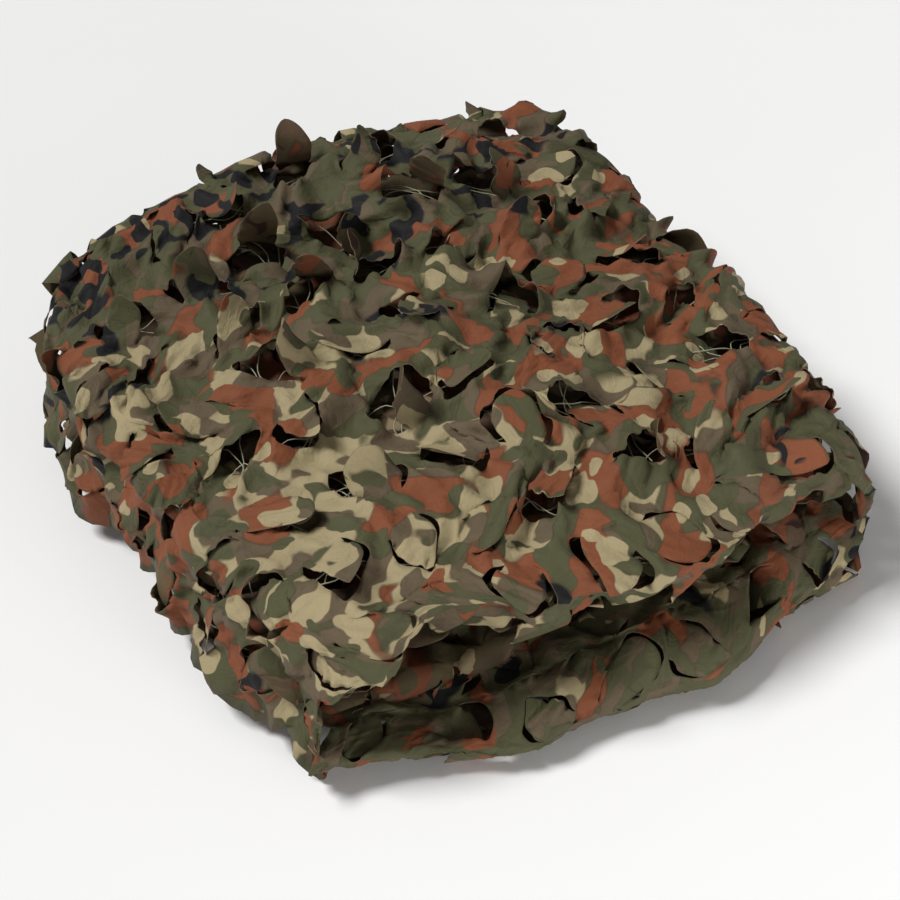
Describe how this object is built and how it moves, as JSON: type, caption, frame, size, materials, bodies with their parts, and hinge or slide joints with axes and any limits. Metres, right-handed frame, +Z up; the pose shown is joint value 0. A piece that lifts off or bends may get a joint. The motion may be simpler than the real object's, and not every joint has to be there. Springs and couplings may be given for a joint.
{
  "type": "folded camouflage net",
  "caption": "Leaf-cut camouflage cloth over a cord net, folded back and forth into a low rounded pack whose top layer drapes over both sides.",
  "frame": {"origin": "middle of the pack's footprint, on the floor it rests on", "axes": "+Z up; -Y towards the front, where the two large folds lie one over the other; +Y towards the back folds; X across, between the two side drapes"},
  "size_m": [0.5262, 0.551, 0.1987],
  "materials": {
    "printed_cloth": "matt camouflage print in olive, rust, sand, taupe and black",
    "net_cord": "pale grey-green twisted cord"
  },
  "bodies": {
    "root": {"incised_cloth": "printed_cloth", "backing_net": "net_cord"}
  },
  "joints": []
}
